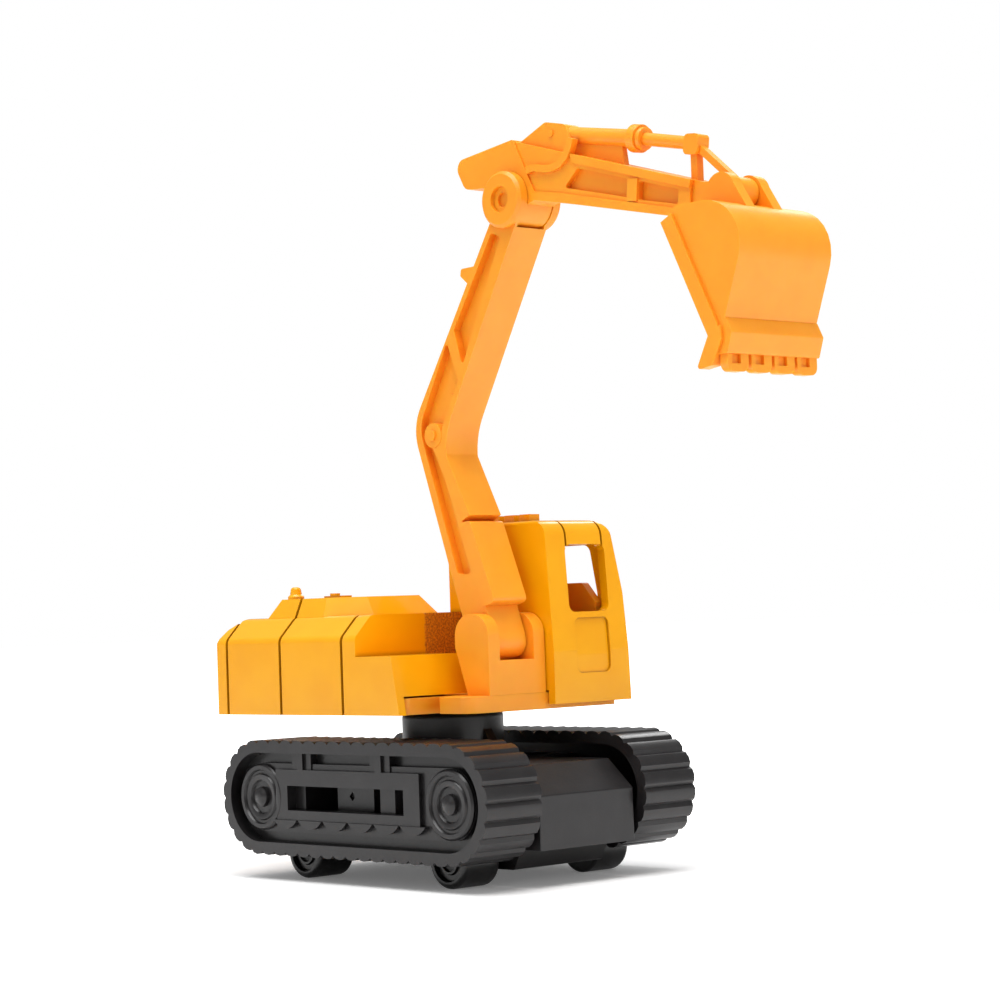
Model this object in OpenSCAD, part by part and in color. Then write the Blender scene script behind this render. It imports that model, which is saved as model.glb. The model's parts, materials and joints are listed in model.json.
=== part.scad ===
// Toy excavator: a die-cast house and moulded boom, stick and bucket on a moulded crawler
// undercarriage that rolls on four small hidden wheels.
// +X is forward, +Y is the driver's left, +Z is up. The origin is on the ground under the swivel axis.

/* [Tracks] */
// Length of a track over its lugs
track_l = 62; // [58:0.5:66]
// Height of a track over its lugs
track_h = 17.9; // [17:0.1:19]
// Width of a track
track_w = 10.9; // [10:0.1:12]
// Gap between the ground and the tracks
track_gap = 3.9; // [3.5:0.1:4.2]
// Distance from the middle of the toy to the outer face of a track
track_out = 21.8; // [21:0.1:23]
// Wall of the track loop
track_wall = 2; // [1.6:0.1:2.4]
// Number of lugs round a track
lug_n = 50; // [40:1:60]
// Depth of the grooves between the lugs
lug_d = 0.55; // [0.3:0.05:0.7]

/* [Wheels] */
// Diameter of a wheel
wheel_d = 8.2; // [7.8:0.1:8.4]
// Width of a wheel
wheel_w = 7; // [6:0.1:7.2]
// Distance between the two axles
wheel_base = 33.5; // [31:0.5:35]
// Diameter of an axle
axle_d = 1.4; // [1.2:0.1:1.6]

/* [Chassis] */
// Length of the chassis
chassis_l = 58.4; // [57:0.2:59]
// Width of the chassis
chassis_w = 19.7; // [19:0.1:20]
// Height of the underside of the chassis
chassis_z = 5.5; // [5.2:0.1:5.8]
// Height of the chassis deck
deck_z = 17.8; // [17:0.1:18.5]
// Wall of the chassis shell
chassis_wall = 1.8; // [1.4:0.1:2.2]

/* [Swivel] */
// Diameter of the turntable collar
collar_d = 15.9; // [15:0.1:17]
// Diameter of the spigot that turns in the collar
spigot_d = 6; // [5.5:0.1:6.5]
// Radial running clearance of the pivots
run = 0.05; // [0.03:0.01:0.08]

/* [House] */
// Height of the underside of the base plate
plate_z = 25.6; // [25.4:0.1:26]
// Thickness of the base plate
plate_t = 2.5; // [2.2:0.1:2.7]
// Half the width of the house
house_w = 19.5; // [19:0.1:20]
// Distance of the tail behind the swivel axis
house_tail = 34.6; // [33:0.2:36]
// Height of the top of the house
house_top = 40.8; // [40:0.1:42]
// Height of the engine hood
hood_z = 43.7; // [43:0.1:44.5]
// Wall of the casting
cast_wall = 1.4; // [1.2:0.1:1.6]

/* [Cab] */
// Side of the cab next to the boom
cab_in = 2.95; // [2.9:0.05:3.1]
// Back of the cab
cab_back = -3; // [-4:0.1:-2.5]
// Front of the cab at its foot
cab_front = 20.2; // [20:0.1:21]
// Height of the cab roof
cab_top = 54.4; // [53:0.1:56]

/* [Boom] */
// Distance of the boom plane to the right of the middle
boom_off = 3.1; // [3:0.05:3.2]
// Forward position of the boom's foot pivot
foot_x = 14.3; // [14:0.1:14.6]
// Height of the boom's foot pivot
foot_z = 36.2; // [36:0.1:36.4]
// Length of the lower arm, from the foot to the knee
lower_l = 33.3; // [32:0.1:34]
// Backward lean of the lower arm from upright
lower_lean = 16.6; // [15:0.1:18]
// Length of the upper arm, from the knee to the elbow
upper_l = 38.6; // [37:0.1:40]
// Forward lean of the upper arm from upright
upper_lean = 27.8; // [26:0.1:29]
// Thickness of the boom
boom_t = 6.6; // [6.2:0.1:6.8]

/* [Stick and bucket] */
// Thickness of the stick
stick_t = 5.2; // [5:0.1:5.4]
// Forward distance from the elbow to the bucket pivot
stick_dx = 43.5; // [42:0.1:45]
// Drop from the elbow to the bucket pivot
stick_drop = 4.7; // [4:0.1:5.5]
// Width of the bucket
bucket_w = 19.1; // [18:0.1:20]
// Wall of the bucket
bucket_wall = 1.3; // [1.1:0.1:1.6]
// Number of bucket teeth
tooth_n = 4; // [4:1:4]

/* [Hidden] */
$fn = 64;
arc_steps = 8;
eps = 0.01;
cast_col = "#F9A61F";
plastic_col = "#F99A3A";
dark_col = "#4A4849";
black_col = "#1B1817";
steel_col = "#B8BBBE";
loop_r = track_h / 2;
loop_a = track_l / 2 - loop_r;
loop_z = track_gap + loop_r;
track_in = track_out - track_w;
pitch = (4 * loop_a + 2 * PI * loop_r) / lug_n;
axle_z = wheel_d / 2;
axle_x = wheel_base / 2;
wheel_y = chassis_w / 2 + 0.35;
hub_y = wheel_y + wheel_w;
plate_top = plate_z + plate_t;
cast_z = plate_z;
slot_w = boom_t + 0.5;
lug_t = 2.3;
boom_y = -boom_off;
foot = [foot_x, foot_z];
knee = foot + lower_l * [-sin(lower_lean), cos(lower_lean)];
elbow = knee + upper_l * [sin(upper_lean), cos(upper_lean)];
nose = elbow + [stick_dx, -stick_drop];

// Unit vector along v
function unit(v) = v / norm(v);
// v turned a quarter turn to the left
function left(v) = [-v[1], v[0]];
// Points of the arc of radius r that rounds the corner b between a and c
function corner(a, b, c, r) =
    let (u = unit(a - b), v = unit(c - b), half = acos(u * v) / 2, m = b + unit(u + v) * r / sin(half))
    let (s = b + u * r / tan(half) - m, e = b + v * r / tan(half) - m)
    let (a0 = atan2(s[1], s[0]), turn = (atan2(e[1], e[0]) - a0 + 540) % 360 - 180)
    [for (i = [0:arc_steps]) let (t = a0 + turn * i / arc_steps) m + r * [cos(t), sin(t)]];
// Outline through points [x, y, corner radius]
function rounded(p) =
    let (n = len(p))
    [for (i = [0:n - 1])
        let (a = p[(i + n - 1) % n], b = p[i], c = p[(i + 1) % n])
        each (b[2] > 0
            ? corner([a[0], a[1]], [b[0], b[1]], [c[0], c[1]], b[2])
            : [[b[0], b[1]]])];
// Outline point at [x, z] from p with the corner radius r
function at(p, x, z, r) = [p[0] + x, p[1] + z, r];
// Four corners of a bar of half height r between p and q
function bar(p, q, r) =
    let (n = left(unit(q - p)) * r)
    [p + n, p - n, q - n, q + n];
// Rectangle with rounded corners as an outline
function box_path(x0, z0, x1, z1, r) = rounded([[x0, z0, r], [x1, z0, r], [x1, z1, r], [x0, z1, r]]);
// Point of the track loop at the distance s from the rear end of its top run, sunk by d
function loop_point(s, d) =
    let (run_l = 2 * loop_a, arc_l = PI * loop_r, r = loop_r - d)
    s < run_l ? [s - loop_a, r]
    : s < run_l + arc_l ? let (t = 90 - (s - run_l) / arc_l * 180) [loop_a + r * cos(t), r * sin(t)]
    : s < 2 * run_l + arc_l ? [loop_a - (s - run_l - arc_l), -r]
    : let (t = -90 - (s - 2 * run_l - arc_l) / arc_l * 180) [-loop_a + r * cos(t), r * sin(t)];

// Extrudes an XZ outline from y0 to y1
module along_y(y0, y1) translate([0, y1, 0]) rotate([90, 0, 0]) linear_extrude(y1 - y0) children();
// Extrudes a YZ outline from x0 to x1
module along_x(x0, x1) translate([x0, 0, 0]) rotate([90, 0, 90]) linear_extrude(x1 - x0) children();
// Cylinder along Y between y0 and y1 at the XZ point p
module rod_y(p, r, y0, y1) translate([p[0], y1, p[1]]) rotate([90, 0, 0]) cylinder(r = r, h = y1 - y0);
// Box between two opposite corners
module box(a, b) translate(a) cube(b - a);
// Cylinder between two points in an XZ plane at the height y
module rod_xz(p, q, r, y) {
    v = q - p;
    translate([p[0], y, p[1]]) rotate([0, atan2(v[0], v[1]), 0]) cylinder(r = r, h = norm(v));
}
// Same piece on both sides of the boom plane
module both_faces() {
    translate([0, boom_y, 0]) children();
    translate([0, boom_y, 0]) mirror([0, 1, 0]) children();
}

// ---- Undercarriage ----

module stadium(r) {
    translate([-loop_a, -r]) square([2 * loop_a, 2 * r]);
    for (x = [-loop_a, loop_a]) translate([x, 0]) circle(r);
}

module lugged_loop() {
    profile = [[0, lug_d], [0.2, 0.12], [0.5, 0], [0.8, 0.12]];
    difference() {
        polygon([for (i = [0:lug_n - 1]) for (k = profile) loop_point((i + k[0]) * pitch, k[1])]);
        stadium(loop_r - track_wall);
    }
}

// Raised idler disc with a ring groove and a domed hub, seen from the outer side
module idler(x) {
    disc_r = 5.2;
    translate([x, -track_out, loop_z]) rotate([-90, 0, 0]) rotate_extrude() polygon([
        [0, 0.05], [0.9, 0.15], [1.5, 0.5], [1.6, 1.1], [2.5, 1.1], [2.7, 0.7], [3.5, 0.6],
        [3.7, 0.9], [4.1, 0.9], [4.3, 0.5], [disc_r - 0.3, 0.5], [disc_r, 0.8], [disc_r, 2.2], [0, 2.2]]);
}

// A track is one moulding: lugged loop, sunk web, raised side frame and the legs that carry it
module track() {
    frame_x = [-18.2, 15.6];
    frame_z = [loop_z - 3.4, loop_z + 4.4];
    window_x = [-15.4, 12];
    window_h = 1.9;
    roller_n = 6;
    roller_r = 3.6;
    roller_pitch = 6;
    post_x = [-12.2, 6.4];
    post_w = 4.6;
    post_z = loop_z + loop_r - track_wall + 0.1;
    web_y = track_out - 2.3;
    web_t = 0.7;
    panel_y = track_out - 1.2;
    leg_x = [[-16, -13], [-8.2, 0.4], [4.8, 8.2]];
    leg_z = [loop_z - 3.4, loop_z + 4.9];
    pit_x = -4.7;
    pit_y = 4.8 - track_out;
    difference() {
        along_y(-track_out, -track_in) translate([0, loop_z]) lugged_loop();
        for (x = [-axle_x, axle_x])
            box([x - wheel_d / 2 - 0.6, -hub_y - 0.5, 0], [x + wheel_d / 2 + 0.6, 0, chassis_z + 1.2]);
    }
    difference() {
        union() {
            along_y(-web_y, -web_y + web_t) translate([0, loop_z]) stadium(loop_r - track_wall + eps);
            along_y(-panel_y, -web_y + eps) translate([0, loop_z]) stadium(5.3);
            box([frame_x[0], -track_out + 0.6, frame_z[0]], [frame_x[1], -panel_y + eps, frame_z[1]]);
        }
        box([window_x[0], -track_out, loop_z - window_h], [window_x[1], 0, loop_z + window_h]);
    }
    // Posts with a raised rib between the loop and the frame
    for (x = post_x) {
        box([x - post_w / 2, -panel_y - 0.2, loop_z + 4.3], [x + post_w / 2, -web_y + eps, post_z]);
        box([x - 0.7, -panel_y - 0.6, loop_z + 2], [x + 0.7, -panel_y, post_z]);
    }
    // Row of rollers showing under the frame
    for (i = [0:roller_n - 1]) intersection() {
        rod_y([frame_x[0] + 2.4 + i * roller_pitch, frame_z[0] + 2.25], roller_r,
            -panel_y - 0.9, -panel_y + eps);
        box([-20, -track_out, 0], [20, 0, frame_z[0] + eps]);
    }
    for (x = [-loop_a, loop_a]) idler(x);
    // Legs that carry the track on the chassis side, the middle one set back behind a small pit
    difference() {
        for (l = leg_x) box([l[0], eps - web_y, leg_z[0]], [l[1], -chassis_w / 2, leg_z[1]]);
        box([leg_x[1][0] - 1, -web_y, loop_z - window_h], [leg_x[1][1] + 1, pit_y, loop_z + window_h]);
        translate([pit_x, pit_y, loop_z + 0.2]) rotate([0, 45, 0]) cube([1, 1, 1], center = true);
    }
}

module track_right() color(dark_col) track();
module track_left() color(dark_col) mirror([0, 1, 0]) track();

chassis_nose = 4.3;
chassis_slope = 4.95;

module chassis_outline(w) {
    x = chassis_l / 2 - w;
    z1 = deck_z - w;
    polygon([[-x, chassis_z], [x, chassis_z], [x, z1 - chassis_nose], [x - chassis_slope, z1],
        [chassis_slope - x, z1], [-x, z1 - chassis_nose]]);
}

module chassis_frame() color(dark_col) {
    difference() {
        along_y(-chassis_w / 2, chassis_w / 2) chassis_outline(0);
        difference() {
            translate([0, 0, -eps]) along_y(chassis_wall - chassis_w / 2, chassis_w / 2 - chassis_wall)
                chassis_outline(chassis_wall);
            // Bosses for the two cover screws
            for (x = [-cover_screw_x, cover_screw_x]) translate([x, 0, chassis_z]) cylinder(d = 4.4, h = 11);
        }
        for (x = [-cover_screw_x, cover_screw_x])
            translate([x, 0, chassis_z - 1]) cylinder(d = screw_d, h = 7.5);
        translate([0, 0, deck_z - 5]) cylinder(r = spigot_d / 2 + run, h = 6);
    }
}

cover_screw_x = 10.5;
screw_d = 1.8;
head_d = 3.4;
cover_z = 2.4;

// Bottom cover that carries both axles in through bores
module chassis_cover() color(black_col) {
    cover_x = chassis_l / 2 - 5;
    cover_y = chassis_w / 2 - 0.7;
    difference() {
        union() {
            along_y(-cover_y, cover_y) polygon(rounded([[-cover_x, chassis_z, 0], [1.5 - cover_x, cover_z, 0.6],
                [cover_x - 1.5, cover_z, 0.6], [cover_x, chassis_z, 0]]));
        }
        for (x = [-axle_x, axle_x]) rod_y([x, axle_z], axle_d / 2 + run, -cover_y - 1, cover_y + 1);
        for (x = [-cover_screw_x, cover_screw_x]) translate([x, 0, cover_z - 1]) {
            cylinder(d = screw_d + 0.2, h = 6);
            cylinder(d = head_d + 0.2, h = 2.2);
        }
    }
}

module pan_screw(x, y, z, l) translate([x, y, z]) {
    difference() {
        cylinder(d = head_d, h = 1.1);
        for (a = [0, 90]) rotate([0, 0, a]) translate([-1, -0.2, -eps]) cube([2, 0.4, 0.6]);
    }
    cylinder(d = screw_d, h = l);
}

module chassis_screws() color(steel_col)
    for (x = [-cover_screw_x, cover_screw_x]) pan_screw(x, 0, cover_z + 0.1, 8);

// Black collar that the house turns on, with a gusset fore and aft
module turntable_collar() color(black_col) {
    collar_top = plate_z - 0.1;
    gusset = [3.4, 1.8];
    difference() {
        union() {
            rotate_extrude() polygon(rounded([[0, deck_z, 0], [collar_d / 2, deck_z, 0],
                [collar_d / 2, collar_top, 1.1], [0, collar_top, 0]]));
            for (s = [-1, 1]) along_y(-gusset[1] / 2, gusset[1] / 2)
                polygon([[s * (collar_d / 2 - 0.5), deck_z], [s * (collar_d / 2 + gusset[0]), deck_z],
                    [s * (collar_d / 2 - 0.5), collar_top - 2.2]]);
        }
        translate([0, 0, deck_z - 1]) cylinder(r = spigot_d / 2 + run, h = 10);
    }
}

module axle(x) color(steel_col) rod_y([x, axle_z], axle_d / 2, 1.3 - hub_y, hub_y - 1.3);
module front_axle() axle(axle_x);
module rear_axle() axle(-axle_x);

// Black wheel with a dished hub, its outer face towards +Y
module wheel_body() {
    r = wheel_d / 2;
    rotate([-90, 0, 0]) difference() {
        rotate_extrude() polygon(rounded([[0, 0, 0], [r, 0, 0.5], [r, wheel_w, 0.8], [r - 1.1, wheel_w, 0.15],
            [r - 1.3, wheel_w - 0.7, 0], [r - 2, wheel_w - 0.7, 0], [r - 2.2, wheel_w - 0.3, 0],
            [r - 2.5, wheel_w - 0.3, 0], [r - 2.7, wheel_w - 0.6, 0], [0, wheel_w - 0.2, 0]]));
        translate([0, 0, -1]) cylinder(d = axle_d, h = wheel_w - 0.2);
    }
}

module wheel(x, side) color(black_col)
    translate([x, 0, axle_z]) mirror([0, side < 0 ? 1 : 0, 0]) translate([0, wheel_y, 0]) wheel_body();
module wheel_front_right() wheel(axle_x, -1);
module wheel_front_left() wheel(axle_x, 1);
module wheel_rear_right() wheel(-axle_x, -1);
module wheel_rear_left() wheel(-axle_x, 1);

// ---- House ----

shelf_z = 34.5;
nose_x = 8.2;
nose_foot_x = 9.8;
nose_in = -5.1;
front_gap_z = plate_top + 0.3;
plate_f = cab_front - cast_wall - 0.3;
shoulder = 3.4;

// Section of the house across its width, shrunk by w
module house_section(w, z0) {
    y = house_w - w;
    z1 = house_top - w;
    polygon(rounded([[-y, z0, 0], [y, z0, 0], [y, z1 - shoulder, 1.6], [y - shoulder, z1, 1.6],
        [shoulder - y, z1, 1.6], [-y, z1 - shoulder, 1.6]]));
}

// Side view of the body behind the recess, shrunk by w
module body_side(w, z0) {
    x = w - house_tail;
    polygon(rounded([[x, z0, 0], [-w, z0, 0], [-w, house_top - w, 0], [x + 3.4, house_top - w, 1.6],
        [x + 0.9, house_top - w - 1.7, 1], [x, house_top - w - 3.8, 1]]));
}

module body_block(w, z0) intersection() {
    along_x(w - house_tail, -w) house_section(w, z0);
    along_y(w - house_w, house_w - w) body_side(w, z0);
}

// Step beside the boom, in front of the body on the right
module nose_block(w, z0) along_y(w - house_w, nose_in - w) polygon([[-8 + w, z0], [nose_foot_x - w, z0],
    [nose_x - w, shelf_z - w], [-8 + w, shelf_z - w]]);

// Cab outline seen from the side, shrunk by w
module cab_side(w, z0) polygon(rounded([[cab_back + w, z0, 0], [cab_front - w, z0, 0],
    [cab_front - w, z0 + 8, 6], [cab_front - 1.3 - w, cab_top - w, 2.6], [cab_back + w, cab_top - w, 0.8]]));

// Cab outline seen from the front, shrunk by w
module cab_face(w, z0) polygon(rounded([[cab_in + w, z0, 0], [house_w - w, z0, 0], [house_w - w - 0.6, 43, 8],
    [house_w - w - 2.6, cab_top - w, 3], [cab_in + w, cab_top - w, 0.6]]));

module cab_block(w, z0) intersection() {
    along_y(0, house_w + 1) cab_side(w, z0);
    along_x(cab_back - 1, cab_front + 1) cab_face(w, z0);
}

// Raised engine hood: sloped on all sides, with its corner towards the boom cut across
module hood() {
    foot_line = [[-25.4, -16], [-11.6, -16], [-6, -10.4], [-6, 2.9], [-25.4, 2.9]];
    top_line = [[-23.4, -14.7], [-12.2, -14.7], [-7.7, -10.2], [-7.7, 0.6], [-23.4, 0.6]];
    hull() {
        translate([0, 0, house_top - 0.5]) linear_extrude(0.5) polygon(foot_line);
        translate([0, 0, hood_z - eps]) linear_extrude(eps) polygon(top_line);
    }
}

module hood_fittings() {
    exhaust = [-21.7, -13.2];
    cap = [-15, -10.5];
    translate([exhaust[0], exhaust[1], hood_z - 0.5]) rotate_extrude() polygon(rounded([[0, 0, 0], [1.3, 0, 0],
        [1.3, 0.9, 0.2], [0.95, 1.2, 0], [0.75, 2.4, 0.5], [0, 2.4, 0]]));
    translate([cap[0], cap[1], hood_z - 0.5]) {
        box([-1.6, -1.1, 0], [2.6, 1.1, 0.8]);
        translate([-0.2, 0, 0]) cylinder(r = 0.8, h = 1.2);
    }
}

house_screws_xy = [[-27, -10], [-27, 10], [-6, 13]];
windshield = [7, 15.6, 40.2, 50.6];
side_window = [2.5, 15.5, 41.5, 50.6];

// Outline of the base plate, grown by g
module plate_outline(g) {
    side = house_w - cast_wall - 0.2 + g;
    tail = house_tail - cast_wall - 0.2 + g;
    polygon(rounded([[-tail, -side, 0.8], [9.4 + g, -side, 1], [9.4 + g, -10.2 - g, 0],
        [11.6 + g, -10.2 - g, 0], [11.6 + g, -13.2 - g, 0.4], [plate_f + g, -13.2 - g, 2.2],
        [plate_f + g, side, 0.8], [-tail, side, 0.8]]));
}

module house_casting() color(cast_col) {
    groove_x = [-32.3, -18.7, -3.6];
    groove = [0.6, 0.5];
    difference() {
        union() {
            body_block(0, cast_z);
            nose_block(0, cast_z);
            cab_block(0, cast_z + 0.7);
            hood();
            hood_fittings();
            // Raised vent ribs on the cab roof
            for (i = [0:2]) box([3.4 + i * 3.4, 6.2, cab_top - 0.5], [5.6 + i * 3.4, 8.4, cab_top + 1.2]);
        }
        difference() {
            union() {
                body_block(cast_wall, cast_z - 1);
                nose_block(cast_wall, cast_z - 1);
                cab_block(cast_wall, cast_z - 1);
            }
            for (p = house_screws_xy)
                translate([p[0], p[1], plate_top]) cylinder(d = 4.2, h = house_top - plate_top - 1);
        }
        for (p = house_screws_xy) translate([p[0], p[1], plate_top - 1]) cylinder(d = screw_d, h = 7.5);
        // Every inner wall stands on the base plate
        translate([0, 0, cast_z - 1]) linear_extrude(plate_top + run - cast_z + 1) plate_outline(run);
        // Front of the step and boom side of the cab end above the base plate
        box([nose_x - 4, cast_wall - house_w, cast_z - 1], [nose_foot_x + 1, nose_in + 1, front_gap_z]);
        box([cab_back - 1, 0, cast_z - 1], [cab_front - cast_wall, cab_in + cast_wall + eps, front_gap_z]);
        // Grooves over the sides and shoulders
        for (x = groove_x) along_x(x, x + groove[0]) difference() {
            square([60, 90], center = true);
            house_section(groove[1], 0);
        }
        // Windshield, left window, sunk front panel and the two roof seams above the windshield
        along_x(cab_front - 6, cab_front + 1)
            polygon(box_path(windshield[0], windshield[2], windshield[1], windshield[3], 1.2));
        along_y(house_w - 5, house_w + 1)
            polygon(box_path(side_window[0], side_window[2], side_window[1], side_window[3], 1.2));
        intersection() {
            union() {
                along_x(cab_front - 3, cab_front + 1)
                    polygon(box_path(windshield[0] + 0.9, 30.8, windshield[1] - 0.4, windshield[2] - 0.9, 1));
                for (y = [windshield[0] + 0.1, windshield[1] - 0.7])
                    box([cab_front - 7, y, windshield[3] - 0.5], [cab_front + 1, y + 0.4, cab_top + 1]);
            }
            difference() {
                cab_block(-1, cast_z);
                cab_block(0.35, cast_z);
            }
        }
    }
}

module base_plate() color(plastic_col) {
    half = slot_w / 2 + lug_t;
    difference() {
        union() {
            translate([0, 0, plate_z]) linear_extrude(plate_t) plate_outline(0);
            // Clevis of two rounded lugs on one block
            along_y(boom_y - half, boom_y + half) polygon(rounded([[plate_f - 4.9, plate_top - eps, 0],
                [plate_f - 0.05, plate_top - eps, 0], [plate_f - 0.05, foot_z + 4.2, 3.4],
                [plate_f - 7.5, foot_z + 4.2, 3.4], [plate_f - 7.5, foot_z - 0.8, 0]]));
            translate([0, 0, deck_z - chassis_wall - 0.1]) cylinder(d = spigot_d, h = plate_z - deck_z + 2);
        }
        // Slot between the lugs and the blind holes for the boom's trunnions
        box([0, boom_y - slot_w / 2, foot_z - 2.9], [plate_f + 1, boom_y + slot_w / 2, foot_z + 10]);
        rod_y(foot, 1.5 + run, boom_y - slot_w / 2 - 1.3, boom_y + slot_w / 2 + 1.3);
        translate([0, 0, deck_z - 4]) cylinder(d = 2.2, h = 10);
        for (p = house_screws_xy) translate([p[0], p[1], plate_z - 1]) {
            cylinder(d = screw_d + 0.2, h = 5);
            cylinder(d = head_d + 0.2, h = 2.2);
        }
    }
}

module house_screws() color(steel_col)
    for (p = house_screws_xy) pan_screw(p[0], p[1], plate_z + 0.1, 8);

// Moulded seat and bulkhead seen through the windshield
module cab_seat() color(plastic_col) {
    y0 = cab_in + cast_wall + 0.4;
    y1 = house_w - cast_wall - 1.3;
    along_y(y0, y1) polygon(rounded([[1, plate_top, 0], [14, plate_top, 0], [14, plate_top + 2, 0.5],
        [12, plate_top + 7, 1], [5.4, plate_top + 6.4, 1.5], [4, 45, 0.8], [1.2, 45, 0.8]]));
    // Upright panel beside the seat, below the side window
    along_y(y1 - 1.4, y1) polygon(rounded([[2, plate_top + 1, 0], [17, plate_top + 1, 0.5], [17, 41.6, 0.6],
        [14.2, 44.7, 0.6], [2, 44.7, 0]]));
}

module swivel_screw() color(steel_col) {
    z = deck_z - chassis_wall - 0.1 - 0.8;
    translate([0, 0, z - 1.6]) difference() {
        cylinder(d = 4.6, h = 1.6);
        for (a = [0, 90]) rotate([0, 0, a]) translate([-1.4, -0.25, -eps]) cube([2.8, 0.5, 0.8]);
    }
    translate([0, 0, z - eps]) cylinder(d = 2.2, h = 8);
}

module swivel_washer() color(steel_col) translate([0, 0, deck_z - chassis_wall - 0.9]) difference() {
    cylinder(d = 8.6, h = 0.8);
    translate([0, 0, -1]) cylinder(d = 2.4, h = 3);
}

// ---- Boom ----

ring_r = 4.25;
ring_t = 1.6;
fork_gap = stick_t / 2 + 0.15;
fork_out = fork_gap + ring_t + 0.2;
ring_bevel = 0.45;
elbow_pin = 1.9;
pocket_d = 1.3;

module boom_outline() {
    polygon(rounded([at(foot, -2.6, -0.88, 0), at(knee, -4.7, 1.6, 7), at(elbow, -2.2, -0.9, 0),
        at(elbow, 2.7, -2.6, 0), at(knee, 1.8, -1.6, 11), at(foot, 2.6, 0.92, 0)]));
    translate(foot) circle(2.75);
}

// Side pockets: one in the upper arm above the diagonal rib, one round the knee
module boom_pockets() {
    polygon(rounded([at(elbow, -3.4, -4.5, 0.5), at(elbow, -1.4, -5.4, 0.5), at(knee, 7.2, 10.1, 0.3),
        at(knee, 5.5, 15.8, 0.3)]));
    polygon(rounded([at(knee, 3.8, 14.1, 0.3), at(knee, -3.2, 1.4, 5.5), at(foot, -4.9, 10.3, 0.6),
        at(foot, -1.8, 10.3, 0.6), at(knee, 0.5, -1.5, 9), at(knee, 6.1, 7.9, 0.3)]));
}

module boom() color(plastic_col) {
    half = boom_t / 2;
    rod_end = knee + [6.7, -13.1];
    block_half = half + 0.15;
    ejector_r = 1.2;
    difference() {
        union() {
            along_y(boom_y - half, boom_y + half) boom_outline();
            // Rings of the fork that holds the stick, with a bevelled rim
            both_faces() {
                rod_y(elbow, ring_r, fork_gap, fork_out - ring_bevel);
                translate([elbow[0], fork_out - ring_bevel, elbow[1]]) rotate([-90, 0, 0])
                    cylinder(r1 = ring_r, r2 = ring_r - ring_bevel, h = ring_bevel);
            }
            // Small stop on the back of the upper arm
            along_y(boom_y - half, boom_y + half) polygon(rounded([at(elbow, -8.2, -12.3, 0),
                at(elbow, -10.6, -10.3, 0.4), at(elbow, -10.4, -9.2, 0.4), at(elbow, -6.4, -9.1, 0)]));
        }
        both_faces() {
            along_y(half - pocket_d, half + 1) boom_pockets();
            rod_y(elbow, elbow_pin + run, 0, 9);
        }
        // Room for the hub of the stick
        rod_y(elbow, ring_r + 0.35, boom_y - fork_gap, boom_y + fork_gap);
    }
    both_faces() {
        // Lift cylinder in relief with its pin, and the marks of the ejectors
        rod_y(knee, 1.9, 0, half + 0.1);
        rod_y(knee, 0.8, 0, half + 0.45);
        along_y(0, half) polygon(bar(knee, rod_end, 1.05));
        rod_y(knee + [3.2, 5], ejector_r, 0, half - pocket_d + 0.25);
        rod_y(elbow + [-2.6, -6.6], ejector_r, 0, half - pocket_d + 0.25);
        // Trunnions at the foot
        rod_y(foot, 1.5, 0, slot_w / 2 + 1.2);
    }
    // Cylinder block standing proud of the lower arm
    along_y(boom_y - block_half, boom_y + block_half) polygon(rounded([at(knee, 5, -13.9, 0.5),
        at(knee, 7.8, -13.5, 0.7), at(knee, 12.7, -25.9, 0.7), at(knee, 10.1, -26.7, 0.5)]));
}

// ---- Stick ----

nose_r = 2.2;
nose_t = 3.6;
nose_pin = 1.1;

// Closed outline of a strip of half width w that follows the points p
function strip(p, w) =
    let (n = len(p), d = [for (i = [0:n - 1]) left(unit(p[min(i + 1, n - 1)] - p[max(i - 1, 0)])) * w])
    concat([for (i = [0:n - 1]) p[i] + d[i]], [for (i = [n - 1:-1:0]) p[i] - d[i]]);

// Outline of the stick's beam, from the elbow to the neck
module beam_outline() polygon(rounded([at(elbow, 1.1, 8.75, 0), at(elbow, 3.7, -0.35, 0),
    at(elbow, 11, -1.85, 0), at(elbow, 34.8, -7.15, 0), at(nose, -6, -1.6, 0), at(nose, -3.3, 1.6, 0)]));

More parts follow.
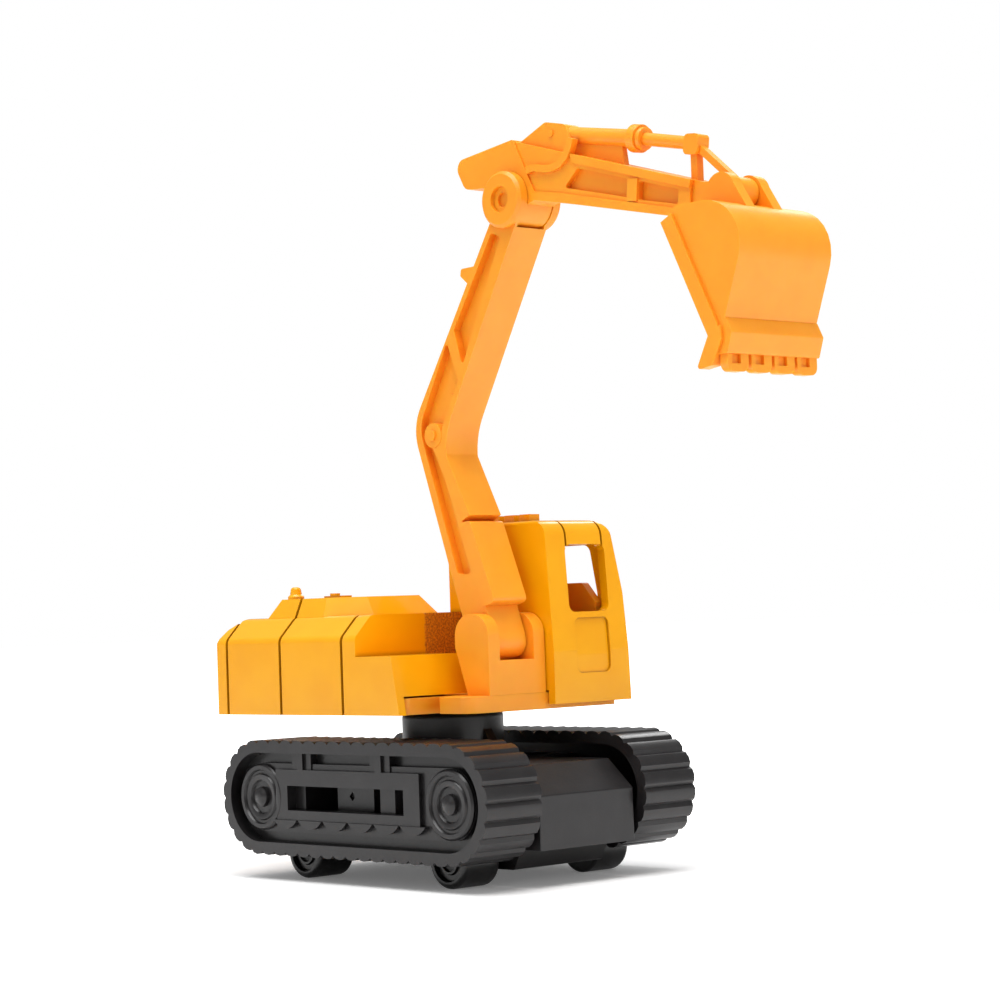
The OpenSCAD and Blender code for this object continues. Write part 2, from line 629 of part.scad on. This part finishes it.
module stick() color(plastic_col) {
    half = stick_t / 2;
    beam_half = half - 0.3;
    e = elbow;
    n = nose;
    barrel = e + [9.5, 8.6];
    collar = e + [25.2, 5.7];
    rod_end = e + [36, 3.3];
    axis_v = unit(collar - barrel);
    hose = [[4.1, 3.9], [5.7, 4.1], [7.4, 3.7], [9.1, 3.45], [11, 3.8], [12.4, 4.8], [13.3, 6.1], [13.7, 7.3]];
    difference() {
        union() {
            // Hub and tail lever, up to the raised edge beside the beam
            along_y(boom_y - half, boom_y + half) {
                translate(e) circle(ring_r - 0.15);
                polygon(rounded([at(e, -12, 7.4, 1.5), at(e, -9.6, 2.9, 1.6), at(e, -3.6, 2.4, 0),
                    at(e, 3.8, -1.2, 0), at(e, 6.1, -0.5, 0), at(e, 1.2, 9, 0.3)]));
            }
            along_y(boom_y - beam_half, boom_y + beam_half) beam_outline();
            // Flanges along the top and the bottom of the beam
            along_y(boom_y - half, boom_y + half) {
                polygon(rounded([at(e, 13.2, 5.1, 0), at(e, 13.6, 3.7, 0), at(e, 36.8, -3.3, 0),
                    at(e, 37.6, -2.3, 0)]));
                polygon(rounded([at(e, 5.6, 0.6, 0), at(e, 5.4, -0.7, 0), at(e, 11, -1.85, 0),
                    at(e, 34.8, -7.15, 0), at(e, 34.6, -5.9, 0), at(e, 11, -0.4, 0)]));
            }
            // Nose and link strut between the bucket lugs
            along_y(boom_y - nose_t / 2, boom_y + nose_t / 2) {
                translate(n) circle(nose_r);
                polygon(bar(n + [0, 0.3], n + [-8, 0.5], 1.6));
            }
            along_y(boom_y - 0.6, boom_y + 0.6) polygon(bar(rod_end, n + [0.3, 1.2], 0.5));
            // Bracket with its pin, cylinder barrel, collars, rod, rod end and post
            along_y(boom_y - 1.5, boom_y + 1.5) polygon(rounded([at(e, 1.8, 8.6, 0), at(e, 7.2, 10.8, 1.4),
                at(e, 11.2, 9.9, 1), at(e, 12.6, 7.4, 0.5), at(e, 12.2, 5, 0)]));
            both_faces() rod_y(e + [8.4, 8.9], 0.5, 0, 1.7);
            rod_xz(barrel, collar, 1.3, boom_y);
            rod_xz(collar - axis_v * 1.2, collar + axis_v * 0.3, 2.05, boom_y);
            rod_xz(collar, collar + axis_v * 1.1, 1.65, boom_y);
            rod_xz(collar, rod_end, 0.95, boom_y);
            along_y(boom_y - 0.5, boom_y + 0.5) polygon(rounded([at(e, 11.4, 8.2, 0), at(e, 10.4, 4, 0),
                at(e, 22.4, 1.8, 0), at(e, 21.8, 6, 0)]));
            along_y(boom_y - 1.2, boom_y + 1.2) polygon(rounded([at(rod_end, -1.6, -1.4, 0.7),
                at(rod_end, 1.1, -1.7, 0.7), at(rod_end, 1.5, 1.2, 0.7), at(rod_end, -1.2, 1.5, 0.7)]));
            box([rod_end[0] - 0.6, boom_y - 0.65, n[1] + 1], [rod_end[0] + 0.6, boom_y + 0.65, rod_end[1]]);
        }
        // Side pockets, parted by an upright rib
        both_faces() along_y(half - 1.3, half + 1) {
            polygon(rounded([at(e, 14.5, 2.8, 0.4), at(e, 11.6, 0.3, 0.3), at(e, 24.4, -2.9, 0.3),
                at(e, 24.8, -0.3, 0.3)]));
            polygon(rounded([at(e, 26.7, -0.8, 0.3), at(e, 26.5, -3.5, 0.3), at(e, 34.2, -5.2, 0.3),
                at(e, 34.4, -3.1, 0.3)]));
        }
        // Neck beside the bucket lugs
        both_faces() along_y(nose_t / 2, half + 1) translate(n) circle(7);
    }
    both_faces() {
        // Rib between the two pockets, and the hose in relief
        along_y(beam_half - eps, half) polygon(bar(e + [25.75, -0.4], e + [25.45, -3.6], 0.95));
        along_y(beam_half - 0.6, half + 0.25) polygon(strip([for (h = hose) e + h], 0.55));
        // Trunnions for the boom fork and for the bucket
        difference() {
            rod_y(e, elbow_pin, 0, fork_out - 0.7);
            rod_y(e, elbow_pin - 0.8, fork_out - 1.2, fork_out);
        }
        rod_y(n, nose_pin, 0, nose_t / 2 + 1);
    }
}

// ---- Bucket ----

module bucket_profile(w) {
    n = nose;
    polygon(rounded([at(n, -5.3 - w, -4.6 + w, 0), at(n, -3.2 - w, -2.1 - w, 0.3),
        at(n, 11 - w * 1.5, -2.1 - w, 6.35 - w), at(n, 5 - w, -18.8, 2), at(n, 5 - w, -22.4, 0.3),
        at(n, 2.8 - w, -21.4, 0)]));
}

module bucket() color(plastic_col) {
    n = nose;
    half = bucket_w / 2;
    lug_in = nose_t / 2 + 0.15;
    lug_out = lug_in + 1.8;
    tooth_pitch = bucket_w / tooth_n;
    tooth_gap = 0.6;
    tooth_z = n[1] - 25.6;
    difference() {
        union() {
            along_y(boom_y - half, boom_y + half) bucket_profile(0);
            // Lip plate under the back
            along_y(boom_y - half, boom_y + half) polygon(rounded([at(n, 3.4, -18.4, 0), at(n, 5.2, -18.2, 0.4),
                at(n, 6.3, -20.4, 0.4), at(n, 5.4, -23.2, 0.3), at(n, 3.6, -23.2, 0.3)]));
            // Lugs on the top plate
            both_faces() along_y(lug_in, lug_out) {
                translate(n) circle(2.6);
                polygon(rounded([at(n, -5.6, -2.9, 0), at(n, 4.8, -2.9, 0), at(n, 2.1, 1.4, 0),
                    at(n, -1.6, 2.1, 0)]));
            }
            // Edge strips of the mouth and the side cutters
            both_faces() along_y(half - bucket_wall, half + 0.5) {
                polygon(bar(n + [-4.6, -3.7], n + [3.5, -20.4], 1.1));
                polygon(rounded([at(n, 2.4, -20.6, 0), at(n, 0.1, -25.1, 0.4), at(n, 3, -24.7, 0.4),
                    at(n, 4.8, -21.3, 0.3), at(n, 4.6, -19.4, 0)]));
            }
        }
        // Inside of the bucket, open towards the mouth
        along_y(boom_y - half + bucket_wall, boom_y + half - bucket_wall) {
            bucket_profile(bucket_wall);
            polygon(rounded([at(n, -12, -2.1 - bucket_wall, 0), at(n, -3, -2.1 - bucket_wall, 0),
                at(n, 3.6, -19.5, 0), at(n, 3.6, -26, 0), at(n, -12, -26, 0)]));
        }
        rod_y(nose, nose_pin + run, boom_y - lug_in - 1.1, boom_y + lug_in + 1.1);
        // Room for the nose of the stick
        rod_y(nose, nose_r + 0.3, boom_y - lug_in, boom_y + lug_in);
    }
    // Teeth, each with a shallow pocket
    for (i = [0:tooth_n - 1]) {
        y = boom_y - half + i * tooth_pitch + tooth_gap / 2;
        difference() {
            along_x(n[0] + 3.8, n[0] + 5.2) polygon(rounded([[y, n[1] - 22, 0], [y, tooth_z, 1.2],
                [y + tooth_pitch - tooth_gap, tooth_z, 1.2], [y + tooth_pitch - tooth_gap, n[1] - 22, 0]]));
            box([n[0] + 4.7, y + 0.8, tooth_z + 1.1], [n[0] + 6, y + 2.6, tooth_z + 2.5]);
        }
    }
}

chassis_frame();
chassis_cover();
chassis_screws();
track_right();
track_left();
turntable_collar();
front_axle();
rear_axle();
wheel_front_right();
wheel_front_left();
wheel_rear_right();
wheel_rear_left();
house_casting();
base_plate();
house_screws();
cab_seat();
swivel_screw();
swivel_washer();
boom();
stick();
bucket();
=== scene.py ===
"""Toy excavator: die-cast enamelled house, moulded orange arm and moulded dark crawler undercarriage."""

import json
import math

import bpy
from mathutils import Matrix, Vector

MM = 0.001

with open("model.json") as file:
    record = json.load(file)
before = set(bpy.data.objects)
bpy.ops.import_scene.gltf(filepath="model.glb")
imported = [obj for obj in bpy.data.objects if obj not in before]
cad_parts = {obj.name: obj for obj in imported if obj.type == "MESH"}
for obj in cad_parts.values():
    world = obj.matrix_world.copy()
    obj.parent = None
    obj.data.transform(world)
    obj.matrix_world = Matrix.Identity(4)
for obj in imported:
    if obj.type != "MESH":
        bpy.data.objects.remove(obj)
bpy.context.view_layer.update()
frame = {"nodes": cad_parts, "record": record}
nodes = frame["nodes"]
record = frame["record"]


# ---- Colours and nodes ----


def srgb(text):
    """Linear RGBA of an sRGB hex colour."""
    channels = [int(text[i : i + 2], 16) / 255 for i in (1, 3, 5)]
    linear = [c / 12.92 if c <= 0.04045 else ((c + 0.055) / 1.055) ** 2.4 for c in channels]
    return (*linear, 1.0)


def add(tree, kind, settings=None, links=None):
    """Adds a node, sets its properties by name and its inputs by index or name, and links its inputs."""
    node = tree.nodes.new(kind)
    for key, value in (settings or {}).items():
        if isinstance(key, str) and key not in node.inputs:
            setattr(node, key, value)
        else:
            node.inputs[key].default_value = value
    for key, socket in (links or {}).items():
        tree.links.new(socket, node.inputs[key])
    return node


def start_material(name, settings):
    """New material with one Principled shader; returns it, its tree, shader and place on the object."""
    material = bpy.data.materials.new(name)
    material.use_nodes = True
    tree = material.node_tree
    tree.nodes.clear()
    shader = add(tree, "ShaderNodeBsdfPrincipled", settings)
    add(tree, "ShaderNodeOutputMaterial", links={"Surface": shader.outputs["BSDF"]})
    place = add(tree, "ShaderNodeTexCoord").outputs["Object"]
    return material, tree, shader, place


def painted_hollow_shade(tree, reach, amount):
    """Share, 0 to amount, of painted shade for a spot in a groove or inner corner no wider than reach."""
    open_sky = add(tree, "ShaderNodeAmbientOcclusion", {"samples": 8, "only_local": True, "Distance": reach})
    return add(
        tree,
        "ShaderNodeMapRange",
        {"From Min": 0.3, "From Max": 0.85, "To Min": amount, "To Max": 0},
        {"Value": open_sky.outputs["AO"]},
    )


# ---- Materials ----

# The rough patch of the casting in painted shade, between these two values of y
PATCH_STEP_SIDE = -5.0 * MM
PATCH_CAB_SIDE = 3.3 * MM


def yellow_enamel():
    """Sprayed enamel on a zinc die casting.

    A thick glossy coat over a cast skin: mirror-like streaks on the edges, a faint orange peel,
    painted light on the upward shoulders, painted shade in the panel grooves,
    and a rough patch in painted shade on the wall behind the boom.
    """
    material, tree, shader, place = start_material(
        "yellow_enamel",
        {"IOR": 1.5, "Specular IOR Level": 0.3, "Coat Weight": 0.35, "Coat Roughness": 0.05},
    )
    # Slow drift of the coat's thickness, about 9 mm across
    drift = add(tree, "ShaderNodeTexNoise", {"Scale": 1 / (9 * MM), "Detail": 2}, {"Vector": place})
    drift = add(
        tree,
        "ShaderNodeMapRange",
        {"From Min": 0.35, "From Max": 0.65},
        {"Value": drift.outputs["Fac"]},
    )
    coat = add(
        tree,
        "ShaderNodeMix",
        {"data_type": "RGBA", 6: srgb("#F2A402"), 7: srgb("#F5AA06")},
        {0: drift.outputs["Result"]},
    )
    # Painted light: upward faces are coloured lighter
    facing = add(tree, "ShaderNodeNewGeometry").outputs["Normal"]
    facing = add(tree, "ShaderNodeSeparateXYZ", links={0: facing}).outputs["Z"]
    top_light = add(
        tree,
        "ShaderNodeMapRange",
        {"From Min": 0.3, "From Max": 0.9, "To Max": 0.5},
        {"Value": facing},
    )
    coat = add(
        tree,
        "ShaderNodeMix",
        {"data_type": "RGBA", 7: srgb("#FAB81C")},
        {0: top_light.outputs["Result"], 6: coat.outputs[2]},
    )
    # Painted shade behind the boom, with a rough grain, on the wall at x = 0, from a ragged edge above the
    # step to the cab wall
    where = add(tree, "ShaderNodeSeparateXYZ", links={0: place})
    on_wall = add(
        tree,
        "ShaderNodeMath",
        {"operation": "COMPARE", 1: 0, 2: 0.3 * MM},
        {0: where.outputs["X"]},
    )
    ragged = add(tree, "ShaderNodeTexNoise", {"Scale": 1 / (0.8 * MM), "Detail": 3}, {"Vector": place})
    ragged = add(
        tree,
        "ShaderNodeMath",
        {"operation": "MULTIPLY_ADD", 1: 0.8 * MM},
        {0: ragged.outputs["Fac"], 2: where.outputs["Y"]},
    )
    past_step = add(
        tree,
        "ShaderNodeMapRange",
        {"From Min": PATCH_STEP_SIDE, "From Max": PATCH_STEP_SIDE + 0.4 * MM},
        {"Value": ragged.outputs[0]},
    )
    before_cab = add(
        tree, "ShaderNodeMath", {"operation": "LESS_THAN", 1: PATCH_CAB_SIDE}, {0: where.outputs["Y"]}
    )
    shaded_patch = add(
        tree,
        "ShaderNodeMath",
        {"operation": "MULTIPLY"},
        {0: on_wall.outputs[0], 1: past_step.outputs["Result"]},
    )
    shaded_patch = add(
        tree,
        "ShaderNodeMath",
        {"operation": "MULTIPLY"},
        {0: shaded_patch.outputs[0], 1: before_cab.outputs[0]},
    )
    # Grain of the rough patch, 0.35 mm
    grit = add(
        tree,
        "ShaderNodeTexNoise",
        {"Scale": 1 / (0.35 * MM), "Detail": 4, "Roughness": 0.7},
        {"Vector": place},
    )
    spots = add(
        tree,
        "ShaderNodeMapRange",
        {"From Min": 0.4, "From Max": 0.62},
        {"Value": grit.outputs["Fac"]},
    )
    # Painted shade: the patch's dark brown tones, varied by the grain
    patch_shade_colour = add(
        tree,
        "ShaderNodeMix",
        {"data_type": "RGBA", 6: srgb("#A86408"), 7: srgb("#E89410")},
        {0: spots.outputs["Result"]},
    )
    colour = add(
        tree,
        "ShaderNodeMix",
        {"data_type": "RGBA"},
        {0: shaded_patch.outputs[0], 6: coat.outputs[2], 7: patch_shade_colour.outputs[2]},
    )
    # Painted shade in the panel grooves and inner corners
    groove_shade = painted_hollow_shade(tree, 1.2 * MM, 0.8)
    colour = add(
        tree,
        "ShaderNodeMix",
        {"data_type": "RGBA", 7: srgb("#7A4C06")},
        {0: groove_shade.outputs["Result"], 6: colour.outputs[2]},
    )
    tree.links.new(colour.outputs[2], shader.inputs["Base Color"])
    # Gloss varies with the peel and falls away on the rough patch
    peel = add(tree, "ShaderNodeTexNoise", {"Scale": 1 / (1.6 * MM), "Detail": 3}, {"Vector": place})
    gloss = add(tree, "ShaderNodeMapRange", {"To Min": 0.16, "To Max": 0.28}, {"Value": peel.outputs["Fac"]})
    gloss = add(
        tree,
        "ShaderNodeMath",
        {"operation": "MULTIPLY_ADD", 1: 0.5},
        {0: shaded_patch.outputs[0], 2: gloss.outputs["Result"]},
    )
    tree.links.new(gloss.outputs[0], shader.inputs["Roughness"])
    relief = add(
        tree,
        "ShaderNodeMath",
        {"operation": "MULTIPLY_ADD"},
        {0: grit.outputs["Fac"], 1: shaded_patch.outputs[0], 2: peel.outputs["Fac"]},
    )
    skin_bump = add(
        tree,
        "ShaderNodeBump",
        {"Distance": 0.02 * MM, "Strength": 0.5},
        {"Height": relief.outputs[0]},
    )
    tree.links.new(skin_bump.outputs["Normal"], shader.inputs["Normal"])
    tree.links.new(skin_bump.outputs["Normal"], shader.inputs["Coat Normal"])
    return material


def orange_polyethylene():
    """Injection-moulded polyethylene: satin and slightly translucent, with painted shade of a deeper orange
    in the hollows.
    """
    material, tree, shader, place = start_material(
        "orange_polyethylene",
        {
            "IOR": 1.5,
            "Subsurface Weight": 0.4,
            "Subsurface Radius": (1.0, 0.4, 0.08),
            "Subsurface Scale": 1.0 * MM,
        },
    )
    # Cloudy flow of the pigment, about 6 mm across
    cloud = add(tree, "ShaderNodeTexNoise", {"Scale": 1 / (6 * MM), "Detail": 2}, {"Vector": place})
    cloud = add(
        tree,
        "ShaderNodeMapRange",
        {"From Min": 0.3, "From Max": 0.7},
        {"Value": cloud.outputs["Fac"]},
    )
    colour = add(
        tree,
        "ShaderNodeMix",
        {"data_type": "RGBA", 6: srgb("#F39A18"), 7: srgb("#F6A01E")},
        {0: cloud.outputs["Result"]},
    )
    # Painted shade: hollows and inner corners are coloured a deeper orange
    corner_shade = painted_hollow_shade(tree, 2.5 * MM, 0.6)
    colour = add(
        tree,
        "ShaderNodeMix",
        {"data_type": "RGBA", 7: srgb("#E87408")},
        {0: corner_shade.outputs["Result"], 6: colour.outputs[2]},
    )
    tree.links.new(colour.outputs[2], shader.inputs["Base Color"])
    # Soft unevenness of the mould's surface, 1 mm and finer
    wave = add(tree, "ShaderNodeTexNoise", {"Scale": 1 / (1.0 * MM), "Detail": 3}, {"Vector": place})
    gloss = add(tree, "ShaderNodeMapRange", {"To Min": 0.36, "To Max": 0.48}, {"Value": wave.outputs["Fac"]})
    tree.links.new(gloss.outputs["Result"], shader.inputs["Roughness"])
    relief = add(
        tree,
        "ShaderNodeBump",
        {"Distance": 0.02 * MM, "Strength": 0.4},
        {"Height": wave.outputs["Fac"]},
    )
    tree.links.new(relief.outputs["Normal"], shader.inputs["Normal"])
    return material


def moulded_styrene(name, dark, light, gloss_range):
    """Moulded polystyrene: an even dark body with a faint haze of flow marks and a satin sheen."""
    material, tree, shader, place = start_material(
        name,
        {"IOR": 1.53, "Specular IOR Level": 0.35, "Coat Weight": 0.3, "Coat Roughness": 0.2},
    )
    haze = add(tree, "ShaderNodeTexNoise", {"Scale": 1 / (4 * MM), "Detail": 4}, {"Vector": place})
    haze = add(
        tree,
        "ShaderNodeMapRange",
        {"From Min": 0.35, "From Max": 0.7},
        {"Value": haze.outputs["Fac"]},
    )
    colour = add(
        tree,
        "ShaderNodeMix",
        {"data_type": "RGBA", 6: srgb(dark), 7: srgb(light)},
        {0: haze.outputs["Result"]},
    )
    # Painted shade: the recesses are coloured darker, while the open faces keep the body colour
    recess_shade = painted_hollow_shade(tree, 2.5 * MM, 0.85)
    colour = add(
        tree,
        "ShaderNodeMix",
        {"data_type": "RGBA", 7: srgb("#080707")},
        {0: recess_shade.outputs["Result"], 6: colour.outputs[2]},
    )
    tree.links.new(colour.outputs[2], shader.inputs["Base Color"])
    grain = add(tree, "ShaderNodeTexNoise", {"Scale": 1 / (0.5 * MM), "Detail": 3}, {"Vector": place})
    gloss = add(
        tree,
        "ShaderNodeMapRange",
        {"To Min": gloss_range[0], "To Max": gloss_range[1]},
        {"Value": grain.outputs["Fac"]},
    )
    tree.links.new(gloss.outputs["Result"], shader.inputs["Roughness"])
    relief = add(
        tree,
        "ShaderNodeBump",
        {"Distance": 0.02 * MM, "Strength": 0.5},
        {"Height": grain.outputs["Fac"]},
    )
    tree.links.new(relief.outputs["Normal"], shader.inputs["Normal"])
    return material


def plated_steel(name, gloss_range):
    """Zinc-plated steel wire and screws: bright, with fine drawing marks that blur the reflections."""
    material, tree, shader, place = start_material(name, {"Metallic": 1.0})
    marks = add(tree, "ShaderNodeTexNoise", {"Scale": 1 / (0.3 * MM), "Detail": 3}, {"Vector": place})
    colour = add(
        tree,
        "ShaderNodeMix",
        {"data_type": "RGBA", 6: srgb("#A9ACB0"), 7: srgb("#C6C9CB")},
        {0: marks.outputs["Fac"]},
    )
    tree.links.new(colour.outputs[2], shader.inputs["Base Color"])
    gloss = add(
        tree,
        "ShaderNodeMapRange",
        {"To Min": gloss_range[0], "To Max": gloss_range[1]},
        {"Value": marks.outputs["Fac"]},
    )
    tree.links.new(gloss.outputs["Result"], shader.inputs["Roughness"])
    return material


finishes = {
    "yellow_paint": yellow_enamel(),
    "orange_plastic": orange_polyethylene(),
    "track_grey": moulded_styrene("grey_styrene", "#181617", "#201E1F", (0.3, 0.44)),
    "chassis_black": moulded_styrene("black_styrene", "#0C0A0A", "#120F0F", (0.34, 0.5)),
    "wheel_black": moulded_styrene("black_wheel_styrene", "#080707", "#0E0D0D", (0.28, 0.4)),
    "axle_steel": plated_steel("drawn_steel", (0.25, 0.35)),
    "screw_steel": plated_steel("zinc_plated_steel", (0.3, 0.45)),
}
slot_of = {part["node"]: part["material_slot"] for part in record["subparts"]}


# ---- CAD nodes: soft edges and finishes ----

# Radius of the soft edges of each moulding, in mm
EDGE_MM = {
    "house_casting": 0.35,
    "base_plate": 0.3,
    "boom": 0.3,
    "stick": 0.25,
    "bucket": 0.3,
    "cab_seat": 0.2,
    "chassis_frame": 0.3,
    "chassis_cover": 0.2,
    "track_right": 0.15,
    "track_left": 0.15,
    "turntable_collar": 0.2,
}


def soften(piece, radius_mm):
    """Joins the faces of the solid, rounds its edges and evens its shading, without touching its mesh."""
    weld = piece.modifiers.new("weld", "WELD")
    weld.merge_threshold = 0.002 * MM
    flats = piece.modifiers.new("flats", "DECIMATE")
    flats.decimate_type = "DISSOLVE"
    flats.angle_limit = math.radians(0.5)
    edges = piece.modifiers.new("edges", "BEVEL")
    edges.width = radius_mm * MM
    edges.segments = 3
    edges.limit_method = "ANGLE"
    edges.angle_limit = math.radians(28)
    edges.miter_outer = "MITER_ARC"
    normals = piece.modifiers.new("normals", "WEIGHTED_NORMAL")
    normals.keep_sharp = True


for name, piece in nodes.items():
    piece.data.materials.clear()
    piece.data.materials.append(finishes[slot_of[name]])
    piece.data.shade_smooth()
    if name in EDGE_MM:
        soften(piece, EDGE_MM[name])
    else:
        piece.data.set_sharp_from_angle(angle=math.radians(30))


# ---- Camera, floor and light ----


def place_camera():
    """Long lens, level with the top of the house, from the front right, with a slight tilt."""
    azimuth, rise, tilt = math.radians(46.83), math.radians(2.375), math.radians(-1.97)
    level = Vector((-math.sin(azimuth), math.cos(azimuth), 0))
    side = Vector((math.cos(azimuth), math.sin(azimuth), 0))
    forward = level * math.cos(rise) + Vector((0, 0, math.sin(rise)))
    up = side.cross(forward)
    right = math.cos(tilt) * side + math.sin(tilt) * up
    top = math.cos(tilt) * up - math.sin(tilt) * side
    data = bpy.data.cameras.new("camera")
    data.sensor_width = 36
    data.lens = 95.4
    data.clip_start = 0.01
    camera = bpy.data.objects.new("camera", data)
    rotation = Matrix((right, top, -forward)).transposed().to_4x4()
    station = Vector((309.46, -278.54, 40.87)) * MM
    camera.matrix_world = Matrix.Translation(station) @ rotation
    bpy.context.scene.collection.objects.link(camera)
    bpy.context.scene.camera = camera


# Strength of the white surroundings, as the eye sees them and as they light the toy
SEEN_WHITE = 1.0
SKY_FILL = 0.34
CARD_SHARE = 0.2

# The card starts to glow past the first radius, and is plain white past the second
GLOW_START = 60 * MM
GLOW_FULL = 180 * MM
GLOW_LOW = 0.12


def white_card():
    """Matt white card that is lit from behind further out, so it fades into the white around it."""
    material, tree, shader, place = start_material(
        "white_card", {"Base Color": srgb("#FAFAFA"), "Roughness": 0.7, "Emission Color": (1, 1, 1, 1)}
    )
    distance = add(tree, "ShaderNodeVectorMath", {"operation": "LENGTH"}, {0: place})
    glow = add(
        tree,
        "ShaderNodeMapRange",
        {"From Min": GLOW_START, "From Max": GLOW_FULL, "To Min": GLOW_LOW, "To Max": SEEN_WHITE},
        {"Value": distance.outputs["Value"]},
    )
    # The glow is for the eye, and lights the toy only weakly
    seen = add(tree, "ShaderNodeLightPath").outputs["Is Camera Ray"]
    share = add(tree, "ShaderNodeMapRange", {"To Min": CARD_SHARE}, {"Value": seen})
    glow = add(
        tree,
        "ShaderNodeMath",
        {"operation": "MULTIPLY"},
        {0: glow.outputs["Result"], 1: share.outputs["Result"]},
    )
    tree.links.new(glow.outputs[0], shader.inputs["Emission Strength"])
    return material


def lay_floor():
    """White sheet that reaches far behind the toy."""
    mesh = bpy.data.meshes.new("floor")
    half = 4.0
    corners = [(-half, -half, 0), (half, -half, 0), (half, half, 0), (-half, half, 0)]
    mesh.from_pydata(corners, [], [(0, 1, 2, 3)])
    mesh.materials.append(white_card())
    floor = bpy.data.objects.new("floor", mesh)
    bpy.context.scene.collection.objects.link(floor)


TOY_MIDDLE = Vector((10, 0, 50)) * MM


def add_light(name, place, size, power):
    """Soft rectangular light aimed at the middle of the toy."""
    data = bpy.data.lights.new(name, "AREA")
    data.shape = "RECTANGLE"
    data.size, data.size_y = size
    data.energy = power
    light = bpy.data.objects.new(name, data)
    light.location = place
    direction = TOY_MIDDLE - Vector(place)
    light.rotation_euler = direction.to_track_quat("-Z", "Y").to_euler()
    bpy.context.scene.collection.objects.link(light)


def light_studio():
    """White surroundings for the eye, a dimmer fill on the toy, three softboxes and a strip light."""
    add_light("top_softbox", place=(0.1, -0.15, 0.8), size=(0.7, 0.7), power=8.5)
    add_light("front_softbox", place=(0.8, 0.2, 0.3), size=(0.4, 0.4), power=0.9)
    add_light("side_softbox", place=(-0.15, -0.85, 0.45), size=(0.5, 0.3), power=0.35)
    add_light("left_strip", place=(-0.35, 0.75, 0.6), size=(0.15, 0.8), power=2.0)
    world = bpy.data.worlds.new("studio")
    world.use_nodes = True
    tree = world.node_tree
    seen = add(tree, "ShaderNodeLightPath").outputs["Is Camera Ray"]
    level = add(tree, "ShaderNodeMapRange", {"To Min": SKY_FILL, "To Max": SEEN_WHITE}, {"Value": seen})
    surround = tree.nodes["Background"]
    surround.inputs["Color"].default_value = (1, 1, 1, 1)
    tree.links.new(level.outputs["Result"], surround.inputs["Strength"])
    bpy.context.scene.world = world


place_camera()
lay_floor()
light_studio()
bpy.context.scene.view_settings.view_transform = "Standard"
